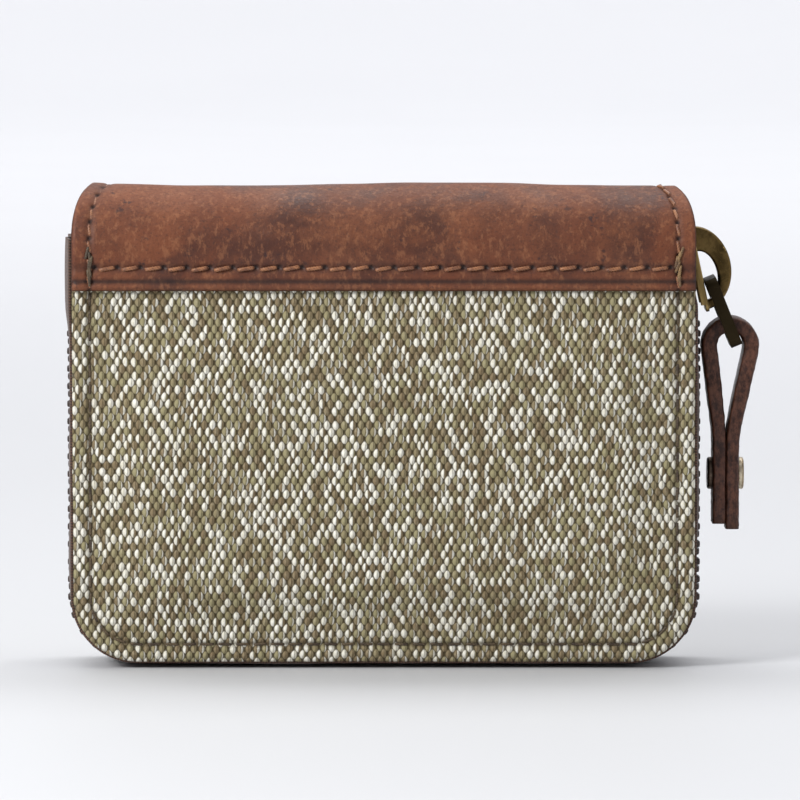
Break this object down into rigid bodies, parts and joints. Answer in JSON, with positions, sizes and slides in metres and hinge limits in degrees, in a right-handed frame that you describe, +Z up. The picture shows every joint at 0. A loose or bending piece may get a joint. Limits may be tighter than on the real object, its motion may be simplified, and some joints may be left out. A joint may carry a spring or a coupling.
{
  "type": "zippered pouch",
  "caption": "Small zip-around pouch with two canvas covers, a leather spine and a slider with a riveted leather pull.",
  "frame": {"origin": "middle of the bottom of the closed pouch, on the plane its zip teeth stand on", "axes": "+X along the spine towards the slider, -Y out of the front cover, +Z up to the spine"},
  "size_m": [0.1283, 0.0244, 0.0893],
  "materials": {
    "canvas": "coarse two-tone basket weave",
    "band_leather": "waxed brown pull-up leather",
    "foam": "thin padding, hidden inside",
    "lining": "plain-woven twill lining",
    "zip_tape": "herringbone woven tape",
    "zip_teeth": "moulded, dark brown",
    "edge_thread": "waxed thread",
    "band_thread": "thick twisted copper-brown thread",
    "zip_metal": "antiqued",
    "pocket_cloth": "plain weave",
    "slider_brass": "antiqued, worn bright at the edges",
    "link_metal": "dark antique",
    "strap_leather": "waxed, raw cut edges",
    "rivet_dark": "dark domed cap",
    "rivet_pale": "pale washer cap"
  },
  "bodies": {
    "back_cover": {"back_canvas_panel": "canvas", "back_spine_leather": "band_leather", "back_foam_interlining": "foam", "back_lining": "lining", "back_zip_tape": "zip_tape", "back_zip_teeth": "zip_teeth", "back_edge_stitches": "edge_thread", "back_band_stitches": "band_thread", "back_top_stop": "zip_metal", "zip_end_stop": "zip_metal", "note_pocket": "pocket_cloth"},
    "front_cover": {"front_canvas_panel": "canvas", "front_spine_leather": "band_leather", "front_foam_interlining": "foam", "front_lining": "lining", "front_zip_tape": "zip_tape", "front_zip_teeth": "zip_teeth", "front_edge_stitches": "edge_thread", "front_band_stitches": "band_thread", "front_top_stop": "zip_metal", "card_slot_tall": "pocket_cloth", "card_slot_middle": "pocket_cloth", "card_slot_short": "pocket_cloth"},
    "slider": {"slider_body": "slider_brass", "slider_bridge": "slider_brass"},
    "link": {"pull_link": "link_metal"},
    "strap": {"pull_strap": "strap_leather", "rivet_post_cap": "rivet_dark", "rivet_tube_cap": "rivet_pale"}
  },
  "joints": [
    {"name": "front_open", "type": "hinge", "parent": "back_cover", "child": "front_cover", "pos_m": [0, 0, 0.0892], "axis": [-1, 0, 0], "range_deg": [0, 175]},
    {"name": "slider_travel", "type": "slide", "parent": "back_cover", "child": "slider", "axis": [0.0607, 0, -0.9982], "range_m": [0, 0.024], "deforming": ["front_zip_teeth", "back_zip_teeth", "front_zip_tape", "back_zip_tape"]},
    {"name": "link_swing", "type": "hinge", "parent": "slider", "child": "link", "pos_m": [0.06064, 0, 0.07122], "axis": [0, -1, 0], "range_deg": [0, 100]},
    {"name": "strap_swing", "type": "hinge", "parent": "link", "child": "strap", "pos_m": [0.06517, 0, 0.06001], "axis": [0, -1, 0], "range_deg": [0, 60]}
  ]
}
